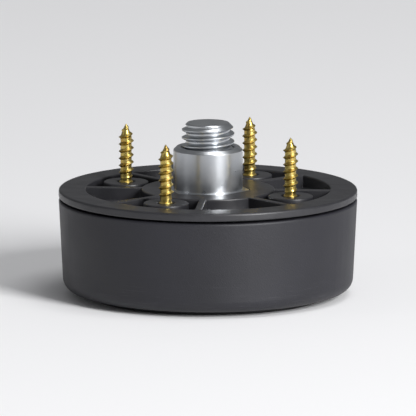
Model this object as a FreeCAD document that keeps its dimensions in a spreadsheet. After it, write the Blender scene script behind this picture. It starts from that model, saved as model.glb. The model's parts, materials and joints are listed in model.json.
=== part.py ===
"""Furniture levelling foot: a round cup that is turned by hand on an M10 spindle.

Millimetres, +Z up.  The origin is on the floor, under the centre of the foot.
Every piece is drawn at rest, with the foot screwed all the way in.
"""
import FreeCAD, Part
import os

import Sketcher

doc = FreeCAD.newDocument("levelling_foot")

# ---------------------------------------------------------------- driving sizes
# Each size is set once, here.  Lengths are in millimetres and angles in degrees.
SIZES = [
    # The whole foot
    ("foot_height", 20.0, "floor to the underside of the cabinet, screwed in"),
    ("rim_diameter", 56.0, "outside of the cup at its upper edge, and of the flange"),
    # Pad and glide plate
    ("pad_thickness", 1.6, "elastomer pad that stands on the floor"),
    ("pad_seat", 0.8, "depth that the pad is sunk into the glide plate"),
    ("pad_gap", 0.1, "room around the pad in its seat"),
    ("pad_slot_depth", 0.5, "tread slots in the underside of the pad"),
    ("pad_slot_width", 1.2, "width of one tread slot"),
    ("pad_slot_margin", 1.5, "pad left whole at both ends of a tread slot"),
    ("plate_thickness", 3.2, "glide plate"),
    ("plate_gap", 0.5, "room between the glide plate and the cup"),
    ("plate_lip", 0.7, "rim of the plate around the pad"),
    ("plate_chamfer", 0.5, "upper edge of the glide plate"),
    ("ceiling_gap", 0.4, "room above the glide plate"),
    ("washer_thickness", 0.8, "thrust washer"),
    ("washer_gap", 0.3, "room around the thrust washer in its pocket"),
    # Cup
    ("floor_gap", 1.0, "lower edge of the cup above the floor"),
    ("cup_draft", 2.9, "taper of the outside, per side"),
    ("cup_wall", 2.2, "wall of the cup"),
    ("edge_fillet", 2.2, "round of the lower outer edge"),
    ("edge_width", 3.0, "width of the cup's lower edge"),
    ("floor_thickness", 2.2, "floor of the cup"),
    ("web_thickness", 2.4, "floor of the hub, which carries the spindle"),
    ("hub_wall", 2.0, "wall of the hub around the retainer"),
    ("hub_lip", 0.7, "hub above the retainer"),
    ("rib_thickness", 1.6, "ribs between hub and wall"),
    ("rib_height", 4.0, "ribs above the cup's floor"),
    ("rib_gap", 0.6, "room between a rib and the skirt"),
    # Spindle and what holds it
    ("thread_diameter", 10.0, "M10 spindle"),
    ("thread_pitch", 1.5, "pitch of the M10 thread"),
    ("thread_gap", 0.12, "room between the two threads, across and along"),
    ("spindle_reach", 12.5, "spindle above the underside of the cabinet"),
    ("spindle_chamfer", 1.0, "upper end of the spindle"),
    ("head_flats", 14.0, "hexagonal head across flats"),
    ("head_height", 4.5, "hexagonal head"),
    ("head_gap", 0.1, "room between head and hub, per flat"),
    ("collar_diameter", 8.0, "collar that centres the cup"),
    ("collar_gap", 0.15, "room around the collar"),
    ("collar_lift", 0.1, "lower face of the collar above the thrust washer"),
    ("journal_diameter", 6.0, "journal that the glide turns on"),
    ("journal_gap", 0.1, "room around the journal"),
    ("journal_end", 0.8, "journal below the clip's groove"),
    ("retainer_thickness", 0.8, "push-in ring over the head"),
    ("retainer_step", 0.4, "step from the head's pocket to the ring's bore"),
    ("retainer_gap", 0.4, "room between the ring and the thread"),
    ("retainer_slot_width", 0.8, "slots that make the ring springy"),
    ("retainer_slot_depth", 1.5, "depth of those slots"),
    # Clip under the glide plate
    ("clip_thickness", 0.7, "retaining clip"),
    ("clip_diameter", 11.3, "outside of the clip"),
    ("clip_groove", 5.0, "diameter of the journal in the clip's groove"),
    ("clip_play", 0.05, "room above and below the clip in its groove"),
    ("clip_gap", 0.1, "room between the clip and the glide plate"),
    ("clip_bore_gap", 0.95, "room around the clip"),
    ("clip_mouth", 4.3, "opening of the clip"),
    ("clip_relief", 1.3, "depth of the two reliefs inside the clip"),
    ("plate_web", 1.2, "glide plate above the clip"),
    # Threaded sleeve and locking ring
    ("stop_gap", 0.1, "hub to sleeve, screwed all the way in"),
    ("sleeve_flange", 1.5, "flange that takes the load"),
    ("sleeve_flange_step", 1.4, "flange beyond the corners of the hexagon"),
    ("stop_width", 0.8, "least width of flange that meets the hub's lip at the stop"),
    ("sleeve_wall", 1.5, "wall outside the nominal thread"),
    ("sleeve_hex_step", 0.5, "flats of the hexagon outside the spigot"),
    ("sleeve_hex_gap", 0.05, "room between hexagon and base, per flat"),
    ("spigot_length", 8.0, "spigot that enters the cabinet's bore"),
    ("spigot_chamfer", 0.6, "upper end of the spigot"),
    ("locking_wall", 1.2, "locking ring outside the nominal thread"),
    ("locking_height", 2.0, "locking ring"),
    # Mounting base
    ("base_thickness", 4.0, "disc that the screws go through"),
    ("flange_thickness", 1.5, "flange that covers the cup's rim"),
    ("rim_gap", 0.4, "parting line between the cup's rim and the flange"),
    ("boss_gap", 1.0, "room between the cup's hub and the base"),
    ("skirt_gap", 0.45, "room between the skirt and the cup"),
    ("skirt_wall", 1.8, "skirt that slides inside the cup"),
    ("skirt_lift", 0.4, "skirt above the cup's floor"),
    ("coring_depth", 2.5, "channel cored out of the upper side"),
    ("coring_wall", 0.9, "wall between the channel and the boss"),
    ("coring_rib", 1.4, "ribs across the channel"),
    ("screw_boss_wall", 1.2, "wall around a screw's head"),
    # Mounting screws
    ("screw_diameter", 2.9, "3 mm chipboard screw, measured over its thread"),
    ("screw_core", 2.1, "screw at the root of its thread"),
    ("screw_shank", 2.6, "plain shank under the head"),
    ("screw_head", 6.0, "countersunk head"),
    ("screw_land", 0.3, "straight edge of the head"),
    ("screw_length", 15.0, "head to tip"),
    ("screw_tip", 2.4, "length of the point"),
    ("screw_pitch", 1.35, "pitch of the screw's thread"),
    ("screw_hole_gap", 0.2, "room between the thread and the hole"),
    ("recess_width", 0.75, "arms of the cross recess"),
    ("recess_span", 3.2, "cross recess from end to end"),
    ("recess_depth", 1.3, "cross recess"),
]
SCREW_COUNT = 4
FIRST_SCREW_ANGLE = 45
CUP_RIB_COUNT = 8
CORING_RIB_COUNT = 8
PAD_SLOT_COUNT = 16
RETAINER_SLOT_COUNT = 8
# ISO metric thread: the flanks overlap by this share of the pitch, and stand
# 30 degrees off the normal.
THREAD_OVERLAP = 0.5413
FLANK_ANGLE = 30

sheet = doc.addObject("Spreadsheet::Sheet", "dims")
for row, (alias, size, meaning) in enumerate(SIZES, start=1):
    sheet.set(f"A{row}", alias)
    sheet.set(f"B{row}", str(size))
    sheet.set(f"C{row}", meaning)
    sheet.setAlias(f"B{row}", alias)
doc.recompute()

# ---------------------------------------------------------------- derived places
# Heights above the floor and radii about the axis, worked out from the sizes.
# What seats on, fits in or lines up with another piece reads the same place.
PLACES = [
    # Heights, from the floor up
    ("plate_bottom", "dims.pad_thickness - dims.pad_seat"),
    ("plate_top", "plate_bottom + dims.plate_thickness"),
    ("cup_ceiling", "plate_top + dims.ceiling_gap"),
    ("washer_top", "plate_top + dims.washer_thickness"),
    ("cup_floor", "cup_ceiling + dims.floor_thickness"),
    ("head_bottom", "washer_top + dims.web_thickness"),
    ("head_top", "head_bottom + dims.head_height"),
    ("retainer_top", "head_top + dims.retainer_thickness"),
    ("hub_top", "retainer_top + dims.hub_lip"),
    ("sleeve_bottom", "hub_top + dims.stop_gap"),
    ("locking_top", "sleeve_bottom + dims.locking_height"),
    ("boss_bottom", "sleeve_bottom + dims.sleeve_flange"),
    ("mount_plane", "dims.foot_height"),
    ("disc_bottom", "mount_plane - dims.base_thickness"),
    ("flange_bottom", "mount_plane - dims.flange_thickness"),
    ("coring_bottom", "mount_plane - dims.coring_depth"),
    ("cup_rim", "flange_bottom - dims.rim_gap"),
    ("skirt_bottom", "cup_floor + dims.skirt_lift"),
    ("spigot_top", "mount_plane + dims.spigot_length"),
    ("spindle_top", "mount_plane + dims.spindle_reach"),
    # Clip and journal, below the glide plate's web
    ("clip_ceiling", "plate_top - dims.plate_web"),
    ("clip_top", "clip_ceiling - dims.clip_gap"),
    ("clip_bottom", "clip_top - dims.clip_thickness"),
    ("groove_top", "clip_top + dims.clip_play"),
    ("groove_bottom", "clip_bottom - dims.clip_play"),
    ("journal_bottom", "groove_bottom - dims.journal_end"),
    # Radii of the cup, from the rim inwards
    ("rim_radius", "dims.rim_diameter / 2"),
    ("cup_bottom_radius", "rim_radius - (cup_rim - dims.floor_gap) * tan(dims.cup_draft)"),
    ("rim_inside", "rim_radius - dims.cup_wall"),
    ("floor_inside", "rim_inside - (cup_rim - cup_floor) * tan(dims.cup_draft)"),
    ("recess_radius", "cup_bottom_radius - dims.edge_width"),
    ("plate_radius", "recess_radius - dims.plate_gap"),
    ("seat_radius", "plate_radius - dims.plate_lip"),
    ("pad_radius", "seat_radius - dims.pad_gap"),
    ("clip_bore", "dims.clip_diameter / 2 + dims.clip_bore_gap"),
    ("seat_inside", "clip_bore + dims.plate_lip"),
    ("pad_inside", "seat_inside + dims.pad_gap"),
    ("skirt_outside", "floor_inside - dims.skirt_gap"),
    ("skirt_inside", "skirt_outside - dims.skirt_wall"),
    # Radii of the thread, with half of the gap on each side of the nominal one
    ("thread_radius", "dims.thread_diameter / 2"),
    ("thread_depth", f"{THREAD_OVERLAP} * dims.thread_pitch"),
    ("spindle_crest", "thread_radius - dims.thread_gap / 2"),
    ("spindle_root", "thread_radius - thread_depth - dims.thread_gap / 2"),
    ("sleeve_crest", "thread_radius - thread_depth + dims.thread_gap / 2"),
    ("sleeve_root", "thread_radius + dims.thread_gap / 2"),
    ("neck_radius", "spindle_root - dims.thread_gap"),
    ("neck_top", "head_top + 1.6 * dims.thread_pitch"),
    # Radii from the spindle outwards
    ("journal_radius", "dims.journal_diameter / 2"),
    ("journal_bore", "journal_radius + dims.journal_gap"),
    ("collar_radius", "dims.collar_diameter / 2"),
    ("collar_bore", "collar_radius + dims.collar_gap"),
    ("head_corner", "dims.head_flats / 2 / cos(30)"),
    ("pocket_corner", "(dims.head_flats / 2 + dims.head_gap) / cos(30)"),
    ("retainer_radius", "pocket_corner + dims.retainer_step"),
    ("hub_radius", "retainer_radius + dims.hub_wall"),
    ("retainer_bore", "thread_radius + dims.retainer_gap"),
    ("spigot_radius", "thread_radius + dims.sleeve_wall"),
    ("sleeve_hex_corner", "(spigot_radius + dims.sleeve_hex_step) / cos(30)"),
    ("base_hex_corner", "sleeve_hex_corner + dims.sleeve_hex_gap / cos(30)"),
    ("sleeve_flange_radius", "max(sleeve_hex_corner + dims.sleeve_flange_step; "
                             "retainer_radius + dims.stop_width)"),
    ("locking_radius", "thread_radius + dims.locking_wall"),
    ("boss_radius", "hub_radius + dims.boss_gap"),
    ("coring_inside", "boss_radius + dims.coring_wall"),
    ("rib_end", "skirt_inside - dims.rib_gap"),
    # Mounting screws, midway between the boss and the skirt
    ("screw_circle", "(boss_radius + skirt_inside) / 2"),
    ("screw_hole", "dims.screw_diameter / 2 + dims.screw_hole_gap"),
    ("screw_boss", "dims.screw_head / 2 + dims.screw_boss_wall"),
    ("screw_end", "disc_bottom + dims.screw_length"),
]
places = doc.addObject("App::VarSet", "places")
for name, formula in PLACES:
    places.addProperty("App::PropertyFloat", name)
    places.setExpression(name, formula)
doc.recompute()


# ---------------------------------------------------------------- drawing helpers
def number(formula):
    """The value of a formula of dims and places."""
    return float(places.evalExpression(formula))


def at(name):
    """The formula that reads a derived place."""
    return f"places.{name}"


def new_body(name):
    """An empty body whose label names its piece."""
    body = doc.addObject("PartDesign::Body", name)
    body.Label = name
    return body


def origin_feature(body, role):
    """An origin plane or axis of the body."""
    return [item for item in body.Origin.OriginFeatures if item.Role == role][0]


def upright_sketch(body, name):
    """A sketch on the XZ plane: across is the radius, up is the height."""
    sketch = body.newObject("Sketcher::SketchObject", name)
    sketch.AttachmentSupport = [(origin_feature(body, "XZ_Plane"), "")]
    sketch.MapMode = "FlatFace"
    return sketch


def level_sketch(body, name, height):
    """A sketch parallel to the XY plane, at a height given as a formula."""
    sketch = body.newObject("Sketcher::SketchObject", name)
    sketch.AttachmentSupport = [(origin_feature(body, "XY_Plane"), "")]
    sketch.MapMode = "FlatFace"
    sketch.setExpression("AttachmentOffset.Base.z", height)
    return sketch


def bind_point(sketch, geometry, position, formulas):
    """Tie a point of the sketch to the origin by two formulas."""
    for kind, axis, formula in zip(("DistanceX", "DistanceY"), (-2, -1), formulas):
        size = number(formula)
        if abs(size) < 1e-9:
            sketch.addConstraint(Sketcher.Constraint("PointOnObject", geometry, position, axis))
            continue
        place = sketch.addConstraint(Sketcher.Constraint(kind, -1, 1, geometry, position, size))
        sketch.setExpression(f"Constraints[{place}]", formula)


def draw_outline(sketch, corners):
    """A closed outline of straight lines, with a pair of formulas for each corner."""
    points = [FreeCAD.Vector(number(across), number(up), 0) for across, up in corners]
    first = sketch.GeometryCount
    for place, point in enumerate(points):
        following = points[(place + 1) % len(points)]
        sketch.addGeometry(Part.LineSegment(point, following), False)
    for place, formulas in enumerate(corners):
        line = first + place
        before = first + (place - 1) % len(corners)
        sketch.addConstraint(Sketcher.Constraint("Coincident", before, 2, line, 1))
        bind_point(sketch, line, 1, formulas)


def draw_circle(sketch, across, up, radius):
    """A circle whose centre and radius are formulas."""
    centre = FreeCAD.Vector(number(across), number(up), 0)
    circle = Part.Circle(centre, FreeCAD.Vector(0, 0, 1), number(radius))
    ring = sketch.addGeometry(circle, False)
    bind_point(sketch, ring, 3, (across, up))
    place = sketch.addConstraint(Sketcher.Constraint("Radius", ring, number(radius)))
    sketch.setExpression(f"Constraints[{place}]", radius)


def hexagon(corner):
    """Corner formulas of a hexagon with two corners on the Y axis."""
    return [(f"{corner} * cos({angle})", f"{corner} * sin({angle})")
            for angle in range(30, 390, 60)]


def bar(start, end, half_width):
    """Corner formulas of a straight bar along +X."""
    return [(start, f"-({half_width})"), (end, f"-({half_width})"),
            (end, half_width), (start, half_width)]


def revolve(body, name, corners, kind="Revolution"):
    """Turn an outline of radii and heights about the Z axis."""
    sketch = upright_sketch(body, f"{name}_outline")
    draw_outline(sketch, corners)
    feature = body.newObject(f"PartDesign::{kind}", name)
    feature.Profile = sketch
    feature.ReferenceAxis = (sketch, ["V_Axis"])
    feature.Angle = 360
    doc.recompute()
    return feature


def extrude(body, name, sketch, length, kind="Pad", downwards=False):
    """Pad or pocket a level sketch upwards, or downwards when asked."""
    feature = body.newObject(f"PartDesign::{kind}", name)
    feature.Profile = sketch
    feature.setExpression("Length", length)
    feature.Reversed = downwards if kind == "Pad" else not downwards
    doc.recompute()
    return feature


def repeat_around(body, name, features, count):
    """Repeat features evenly around the Z axis."""
    pattern = body.newObject("PartDesign::PolarPattern", name)
    pattern.Originals = features
    pattern.Axis = (origin_feature(body, "Z_Axis"), [""])
    pattern.Angle = 360
    pattern.Occurrences = count
    body.Tip = pattern
    doc.recompute()
    return pattern


def circle_edges(shape, radius, height):
    """Names of the circular edges about the Z axis with this radius and height."""
    names = []
    for place, edge in enumerate(shape.Edges, start=1):
        if not isinstance(edge.Curve, Part.Circle):
            continue
        near_radius = abs(edge.Curve.Radius - radius) < 1e-4
        if near_radius and abs(edge.Curve.Center.z - height) < 1e-4:
            names.append(f"Edge{place}")
    return names


def wind(body, name, corners, start, end, pitch, kind):
    """Carry an outline along a right-hand helix from one height to another."""
    sketch = upright_sketch(body, f"{name}_outline")
    draw_outline(sketch, [(across, f"({start}) + ({up})") for across, up in corners])
    thread = body.newObject(f"PartDesign::{kind}", name)
    thread.Profile = sketch
    thread.ReferenceAxis = (sketch, ["V_Axis"])
    thread.Mode = "pitch-height-angle"
    thread.setExpression("Pitch", pitch)
    thread.setExpression("Height", f"({end}) - ({start})")
    thread.LeftHanded = False
    doc.recompute()
    return thread


def first_turn(phase, lowest, pitch):
    """The highest of the heights phase, phase - pitch, ... that is at or below lowest."""
    return f"({phase}) - {pitch} * ceil((({phase}) - ({lowest})) / {pitch})"


def metric_groove(root, crest):
    """Corner formulas of one thread groove, about its own middle height.

    It is half a pitch wide at the middle of the flanks, widened by the gap along
    the thread, and is carried a little past the crest so that it cuts clean.
    """
    middle = f"({at('thread_radius')} - {at('thread_depth')} / 2)"
    half_width = "(dims.thread_pitch / 4 + dims.thread_gap / 2 / cos(30))"
    past_crest = f"({crest} + ({crest} - {root}) * 0.1)"

    def half_at(radius):
        towards_crest = f"({radius} - {middle}) * tan({FLANK_ANGLE})"
        if number(crest) < number(root):
            return f"({half_width} - {towards_crest})"
        return f"({half_width} + {towards_crest})"

    return [(root, f"-{half_at(root)}"), (past_crest, f"-{half_at(past_crest)}"),
            (past_crest, half_at(past_crest)), (root, half_at(root))]


# ---------------------------------------------------------------- glide
def make_glide_pad():
    """Elastomer ring that grips the floor, with blind tread slots."""
    body = new_body("glide_pad")
    revolve(body, "ring", [
        (at("pad_inside"), "0"),
        (at("pad_radius"), "0"),
        (at("pad_radius"), "dims.pad_thickness"),
        (at("pad_inside"), "dims.pad_thickness"),
    ])
    slot = level_sketch(body, "slot_outline", "0")
    draw_outline(slot, bar(f"{at('pad_inside')} + dims.pad_slot_margin",
                           f"{at('pad_radius')} - dims.pad_slot_margin",
                           "dims.pad_slot_width / 2"))
    cut = extrude(body, "slot", slot, "dims.pad_slot_depth", "Pocket")
    repeat_around(body, "slots", [cut], PAD_SLOT_COUNT)
    return body


def make_glide_plate():
    """Disc that stays still on the floor while the cup turns above it."""
    body = new_body("glide_plate")
    revolve(body, "disc", [
        (at("journal_bore"), at("clip_ceiling")),
        (at("clip_bore"), at("clip_ceiling")),
        (at("clip_bore"), at("plate_bottom")),
        (at("seat_inside"), at("plate_bottom")),
        (at("seat_inside"), "dims.pad_thickness"),
        (at("seat_radius"), "dims.pad_thickness"),
        (at("seat_radius"), at("plate_bottom")),
        (at("plate_radius"), at("plate_bottom")),
        (at("plate_radius"), f"{at('plate_top')} - dims.plate_chamfer"),
        (f"{at('plate_radius')} - dims.plate_chamfer", at("plate_top")),
        (at("journal_bore"), at("plate_top")),
    ])
    return body


def make_thrust_washer():
    """Acetal washer between the glide plate and the cup."""
    body = new_body("thrust_washer")
    revolve(body, "washer", [
        (at("journal_bore"), at("plate_top")),
        (at("hub_radius"), at("plate_top")),
        (at("hub_radius"), at("washer_top")),
        (at("journal_bore"), at("washer_top")),
    ])
    return body


def make_glide_clip():
    """Open retaining clip in the journal's groove, with two reliefs inside."""
    body = new_body("glide_clip")
    disc = level_sketch(body, "disc_outline", at("clip_bottom"))
    draw_circle(disc, "0", "0", "dims.clip_diameter / 2")
    extrude(body, "disc", disc, "dims.clip_thickness")
    bore = level_sketch(body, "bore_outline", at("clip_bottom"))
    draw_circle(bore, "0", "0", "dims.clip_groove / 2")
    extrude(body, "bore", bore, "dims.clip_thickness", "Pocket")
    mouth = level_sketch(body, "mouth_outline", at("clip_bottom"))
    draw_outline(mouth, bar("0", "dims.clip_diameter", "dims.clip_mouth / 2"))
    extrude(body, "mouth", mouth, "dims.clip_thickness", "Pocket")
    for name, side in (("left_relief", 1), ("right_relief", -1)):
        relief = level_sketch(body, f"{name}_outline", at("clip_bottom"))
        reach = "dims.clip_groove / 2"
        draw_circle(relief, f"-{reach} * cos(55)", f"{side} * {reach} * sin(55)", "dims.clip_relief")
        extrude(body, name, relief, "dims.clip_thickness", "Pocket")
    return body


# ---------------------------------------------------------------- cup and spindle
def make_foot_cup():
    """Moulded cup that is gripped and turned, with a hub for the spindle's head."""
    body = new_body("foot_cup")
    washer_pocket = f"{at('hub_radius')} + dims.washer_gap"
    shell = revolve(body, "shell", [
        (at("collar_bore"), at("washer_top")),
        (washer_pocket, at("washer_top")),
        (washer_pocket, at("cup_ceiling")),
        (at("recess_radius"), at("cup_ceiling")),
        (at("recess_radius"), "dims.floor_gap"),
        (at("cup_bottom_radius"), "dims.floor_gap"),
        (at("rim_radius"), at("cup_rim")),
        (at("rim_inside"), at("cup_rim")),
        (at("floor_inside"), at("cup_floor")),
        (at("hub_radius"), at("cup_floor")),
        (at("hub_radius"), at("hub_top")),
        (at("retainer_radius"), at("hub_top")),
        (at("retainer_radius"), at("head_top")),
        (at("collar_bore"), at("head_top")),
    ])
    edge = body.newObject("PartDesign::Fillet", "lower_edge")
    names = circle_edges(shell.Shape, number(at("cup_bottom_radius")), number("dims.floor_gap"))
    edge.Base = (shell, names)
    edge.setExpression("Radius", "dims.edge_fillet")
    doc.recompute()
    rib = level_sketch(body, "rib_outline", at("cup_floor"))
    draw_outline(rib, bar(f"{at('hub_radius')} - dims.hub_wall / 2", at("rib_end"),
                          "dims.rib_thickness / 2"))
    ridge = extrude(body, "rib", rib, "dims.rib_height")
    repeat_around(body, "ribs", [ridge], CUP_RIB_COUNT)
    pocket = level_sketch(body, "head_pocket_outline", at("head_bottom"))
    draw_outline(pocket, hexagon(at("pocket_corner")))
    extrude(body, "head_pocket", pocket, "dims.head_height", "Pocket")
    return body


def make_levelling_spindle():
    """M10 spindle with a hexagonal head, a collar and a journal for the glide."""
    body = new_body("levelling_spindle")
    end_chamfer = "dims.journal_end / 3"
    revolve(body, "turned_blank", [
        ("0", at("journal_bottom")),
        (f"{at('journal_radius')} - {end_chamfer}", at("journal_bottom")),
        (at("journal_radius"), f"{at('journal_bottom')} + {end_chamfer}"),
        (at("journal_radius"), at("groove_bottom")),
        ("dims.clip_groove / 2", at("groove_bottom")),
        ("dims.clip_groove / 2", at("groove_top")),
        (at("journal_radius"), at("groove_top")),
        (at("journal_radius"), f"{at('washer_top')} + dims.collar_lift"),
        (at("collar_radius"), f"{at('washer_top')} + dims.collar_lift"),
        (at("collar_radius"), at("head_bottom")),
        (at("neck_radius"), at("head_bottom")),
        (at("neck_radius"), at("neck_top")),
        (at("spindle_crest"), at("neck_top")),
        (at("spindle_crest"), f"{at('spindle_top')} - dims.spindle_chamfer"),
        (f"{at('spindle_crest')} - dims.spindle_chamfer", at("spindle_top")),
        ("0", at("spindle_top")),
    ])
    head = level_sketch(body, "head_outline", at("head_bottom"))
    draw_outline(head, hexagon(at("head_corner")))
    extrude(body, "head", head, "dims.head_height")
    corner = f"({at('head_corner')} - dims.head_flats / 2)"
    revolve(body, "head_chamfer", [
        ("dims.head_flats / 2", at("head_top")),
        (f"{at('head_corner')} + {corner}", at("head_top")),
        (f"{at('head_corner')} + {corner}", f"{at('head_top')} - 2 * {corner} * tan(30)"),
    ], "Groove")
    phase = f"{at('mount_plane')} + dims.thread_pitch / 2"
    start = first_turn(phase, at("neck_top"), "dims.thread_pitch")
    wind(body, "thread", metric_groove(at("spindle_root"), at("spindle_crest")), start,
         f"{at('spindle_top')} + dims.thread_pitch", "dims.thread_pitch", "SubtractiveHelix")
    return body


def make_spindle_retainer():
    """Springy ring pushed into the hub over the spindle's head."""
    body = new_body("spindle_retainer")
    revolve(body, "ring", [
        (at("retainer_bore"), at("head_top")),
        (at("retainer_radius"), at("head_top")),
        (at("retainer_radius"), at("retainer_top")),
        (at("retainer_bore"), at("retainer_top")),
    ])
    slot = level_sketch(body, "slot_outline", at("head_top"))
    draw_outline(slot, bar(f"{at('retainer_bore')} - dims.retainer_slot_depth",
                           f"{at('retainer_bore')} + dims.retainer_slot_depth",
                           "dims.retainer_slot_width / 2"))
    cut = extrude(body, "slot", slot, "dims.retainer_thickness", "Pocket")
    repeat_around(body, "slots", [cut], RETAINER_SLOT_COUNT)
    return body


# ---------------------------------------------------------------- sleeve and base
def cut_inner_thread(body, bottom, top):
    """Thread a bore so that its grooves face the spindle's ridges."""
    lowest = f"{bottom} - dims.thread_pitch / 2"
    start = first_turn(at("mount_plane"), lowest, "dims.thread_pitch")
    wind(body, "thread", metric_groove(at("sleeve_root"), at("sleeve_crest")), start,
         f"{top} + dims.thread_pitch", "dims.thread_pitch", "SubtractiveHelix")


def make_threaded_sleeve():
    """Steel sleeve: flange under the base, hexagon in it, and spigot above it."""
    body = new_body("threaded_sleeve")
    revolve(body, "turned_blank", [
        (at("locking_radius"), at("sleeve_bottom")),
        (at("sleeve_flange_radius"), at("sleeve_bottom")),
        (at("sleeve_flange_radius"), at("boss_bottom")),
        (at("spigot_radius"), at("boss_bottom")),
        (at("spigot_radius"), f"{at('spigot_top')} - dims.spigot_chamfer"),
        (f"{at('spigot_radius')} - dims.spigot_chamfer", at("spigot_top")),
        (at("sleeve_crest"), at("spigot_top")),
        (at("sleeve_crest"), at("locking_top")),
        (at("locking_radius"), at("locking_top")),
    ])
    hexagon_sketch = level_sketch(body, "hexagon_outline", at("boss_bottom"))
    draw_outline(hexagon_sketch, hexagon(at("sleeve_hex_corner")))
    draw_circle(hexagon_sketch, "0", "0", f"({at('locking_radius')} + {at('spigot_radius')}) / 2")
    extrude(body, "hexagon", hexagon_sketch, f"{at('mount_plane')} - {at('boss_bottom')}")
    cut_inner_thread(body, at("locking_top"), at("spigot_top"))
    return body


def make_locking_ring():
    """Nylon ring in the sleeve's mouth, threaded by the spindle that it grips."""
    body = new_body("locking_ring")
    revolve(body, "ring", [
        (at("sleeve_crest"), at("sleeve_bottom")),
        (at("locking_radius"), at("sleeve_bottom")),
        (at("locking_radius"), at("locking_top")),
        (at("sleeve_crest"), at("locking_top")),
    ])
    cut_inner_thread(body, at("sleeve_bottom"), at("locking_top"))
    return body


def make_mounting_base():
    """Moulded base under the cabinet, with the skirt that slides in the cup."""
    body = new_body("mounting_base")
    revolve(body, "disc", [
        ("0", at("boss_bottom")),
        (at("boss_radius"), at("boss_bottom")),
        (at("boss_radius"), at("disc_bottom")),
        (at("skirt_inside"), at("disc_bottom")),
        (at("skirt_inside"), at("skirt_bottom")),
        (at("skirt_outside"), at("skirt_bottom")),
        (at("skirt_outside"), at("flange_bottom")),
        (at("rim_radius"), at("flange_bottom")),
        (at("rim_radius"), at("mount_plane")),
        (at("skirt_inside"), at("mount_plane")),
        (at("skirt_inside"), at("coring_bottom")),
        (at("coring_inside"), at("coring_bottom")),
        (at("coring_inside"), at("mount_plane")),
        ("0", at("mount_plane")),
    ])
    rib = level_sketch(body, "rib_outline", at("coring_bottom"))
    draw_outline(rib, bar(f"{at('coring_inside')} - dims.coring_wall",
                          f"{at('skirt_inside')} + dims.skirt_wall / 2", "dims.coring_rib / 2"))
    rib.setExpression("AttachmentOffset.Rotation.Angle", f"{180 / CORING_RIB_COUNT}")
    ridge = extrude(body, "rib", rib, "dims.coring_depth")
    repeat_around(body, "ribs", [ridge], CORING_RIB_COUNT)
    screw_x = f"{at('screw_circle')} * cos({FIRST_SCREW_ANGLE})"
    screw_y = f"{at('screw_circle')} * sin({FIRST_SCREW_ANGLE})"
    boss = level_sketch(body, "screw_boss_outline", at("coring_bottom"))
    draw_circle(boss, screw_x, screw_y, at("screw_boss"))
    post = extrude(body, "screw_boss", boss, "dims.coring_depth")
    repeat_around(body, "screw_bosses", [post], SCREW_COUNT)
    hole = level_sketch(body, "screw_hole_outline", at("disc_bottom"))
    draw_circle(hole, screw_x, screw_y, at("screw_hole"))
    bore = extrude(body, "screw_hole", hole, "dims.base_thickness", "Pocket")
    repeat_around(body, "screw_holes", [bore], SCREW_COUNT)
    land = level_sketch(body, "screw_land_outline", at("disc_bottom"))
    draw_circle(land, screw_x, screw_y, "dims.screw_head / 2")
    mouth = extrude(body, "screw_land", land, "dims.screw_land", "Pocket")
    repeat_around(body, "screw_lands", [mouth], SCREW_COUNT)
    cone = body.newObject("PartDesign::SubtractiveCone", "countersink")
    cone.setExpression("Radius1", "dims.screw_head / 2")
    cone.setExpression("Radius2", at("screw_hole"))
    cone.setExpression("Height", f"dims.screw_head / 2 - {at('screw_hole')}")
    cone.setExpression("Placement.Base.x", screw_x)
    cone.setExpression("Placement.Base.y", screw_y)
    cone.setExpression("Placement.Base.z", f"{at('disc_bottom')} + dims.screw_land")
    doc.recompute()
    repeat_around(body, "countersinks", [cone], SCREW_COUNT)
    pocket = level_sketch(body, "sleeve_pocket_outline", at("boss_bottom"))
    draw_outline(pocket, hexagon(at("base_hex_corner")))
    extrude(body, "sleeve_pocket", pocket, f"{at('mount_plane')} - {at('boss_bottom')}", "Pocket")
    return body


# ---------------------------------------------------------------- mounting screws
def make_mounting_screw(number_around):
    """Chipboard screw on its own axis, then moved to its hole."""
    body = new_body(f"mounting_screw_{number_around + 1}")
    head = "dims.screw_head / 2"
    core = "dims.screw_core / 2"
    shank = "dims.screw_shank / 2"
    revolve(body, "turned_blank", [
        ("0", at("disc_bottom")),
        (head, at("disc_bottom")),
        (head, f"{at('disc_bottom')} + dims.screw_land"),
        (shank, f"{at('disc_bottom')} + dims.screw_land + {head} - {shank}"),
        (shank, at("mount_plane")),
        (core, at("mount_plane")),
        (core, f"{at('screw_end')} - dims.screw_tip"),
        ("0", at("screw_end")),
    ])
    # The ridge is rooted inside the core, where it fuses without a seam.
    rooted = f"({core} * 0.9)"
    tip = "dims.screw_diameter / 2"
    root_half = "dims.screw_pitch * 0.24"
    tip_half = "dims.screw_pitch * 0.03"
    wind(body, "thread", [
        (rooted, f"-({root_half})"),
        (tip, f"-({tip_half})"),
        (tip, tip_half),
        (rooted, root_half),
    ], f"{at('mount_plane')} + dims.screw_pitch", f"{at('screw_end')} - dims.screw_tip",
        "dims.screw_pitch", "AdditiveHelix")
    half_width = "dims.recess_width / 2"
    half_span = "dims.recess_span / 2"
    recess = level_sketch(body, "recess_outline", at("disc_bottom"))
    quarter = [(half_width, half_width), (half_width, half_span), (f"-{half_width}", half_span)]
    plus = []
    for _ in range(4):
        plus += quarter
        quarter = [(f"-({up})", across) for across, up in quarter]
    draw_outline(recess, plus)
    extrude(body, "recess", recess, "dims.recess_depth", "Pocket")
    angle = FIRST_SCREW_ANGLE + number_around * 360 / SCREW_COUNT
    body.setExpression("Placement.Base.x", f"{at('screw_circle')} * cos({angle})")
    body.setExpression("Placement.Base.y", f"{at('screw_circle')} * sin({angle})")
    doc.recompute()
    return body


pieces = [
    make_glide_pad(),
    make_glide_plate(),
    make_thrust_washer(),
    make_glide_clip(),
    make_foot_cup(),
    make_levelling_spindle(),
    make_spindle_retainer(),
    make_threaded_sleeve(),
    make_locking_ring(),
    make_mounting_base(),
]
pieces += [make_mounting_screw(place) for place in range(SCREW_COUNT)]
doc.recompute()

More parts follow.
